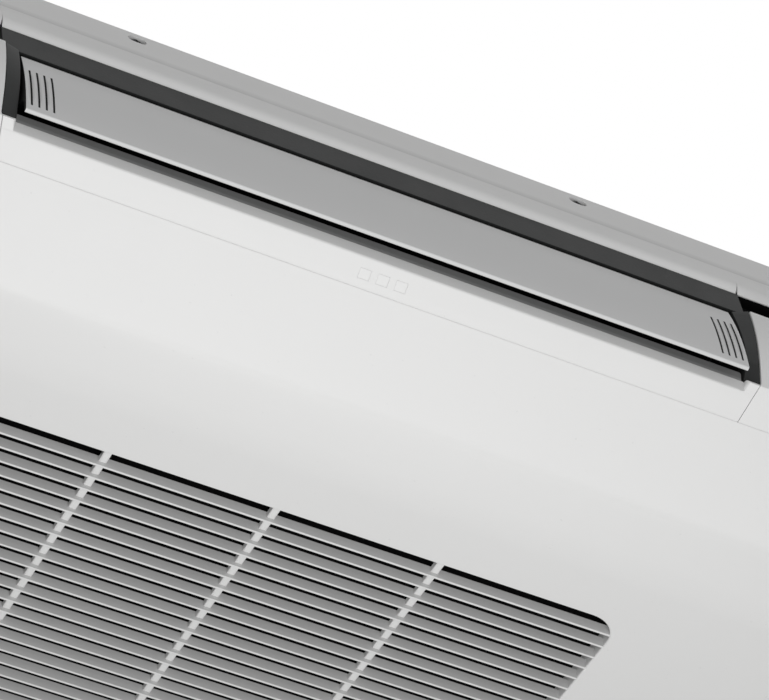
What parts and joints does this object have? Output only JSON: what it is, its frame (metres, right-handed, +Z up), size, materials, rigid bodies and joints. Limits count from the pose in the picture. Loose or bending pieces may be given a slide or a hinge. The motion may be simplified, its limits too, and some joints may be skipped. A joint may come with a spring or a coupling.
{
  "type": "floor ceiling air conditioner indoor unit",
  "caption": "Ceiling-hung air conditioner indoor unit: underside intake grille, front air outlet with a hinged flap, moulded white casing on a steel ceiling plate.",
  "frame": {"origin": "centre of the flat ceiling side of the steel back plate", "axes": "+X to the right seen from the front, +Y to the rear, +Z up into the ceiling; the air outlet faces -Y and the intake faces -Z"},
  "size_m": [0.87, 0.6641, 0.235],
  "materials": {
    "casing_white": "fine-textured white moulded plastic",
    "outlet_dark": "fine-textured charcoal moulded plastic",
    "zinc_steel": "galvanised sheet with a faint spangle",
    "coil_fins": "bare fin stack",
    "filter_dark": "moulded frame with woven mesh",
    "pan_foam": "dark moulded foam with a smooth skin",
    "lens_white": "translucent white windows"
  },
  "bodies": {
    "casing": {"back_plate": "zinc_steel", "rear_panel": "zinc_steel", "hanger_left": "zinc_steel", "hanger_right": "zinc_steel", "chassis_plate_left": "zinc_steel", "chassis_plate_right": "zinc_steel", "top_rim": "casing_white", "rim_end_left": "casing_white", "rim_end_right": "casing_white", "side_cover_left": "casing_white", "side_cover_right": "casing_white", "groove_channel_left": "outlet_dark", "groove_channel_right": "outlet_dark", "front_strip": "casing_white", "display_windows": "lens_white", "intake_panel": "casing_white", "intake_grille": "casing_white", "air_filter": "filter_dark", "filter_rail_left": "filter_dark", "filter_rail_right": "filter_dark", "outlet_band": "outlet_dark", "outlet_lip": "outlet_dark", "outlet_side_left": "outlet_dark", "outlet_side_right": "outlet_dark", "duct_roof": "outlet_dark", "drain_pan": "pan_foam", "vertical_vanes": "outlet_dark", "vane_link": "outlet_dark", "coil": "coil_fins", "coil_end_left": "zinc_steel", "coil_end_right": "zinc_steel"},
    "flap": {"flap": "casing_white"}
  },
  "joints": [
    {"name": "flap_tilt", "type": "hinge", "parent": "casing", "child": "flap", "pos_m": [0, -0.3, -0.115], "axis": [-1, 0, 0], "range_deg": [-6, 60]}
  ]
}
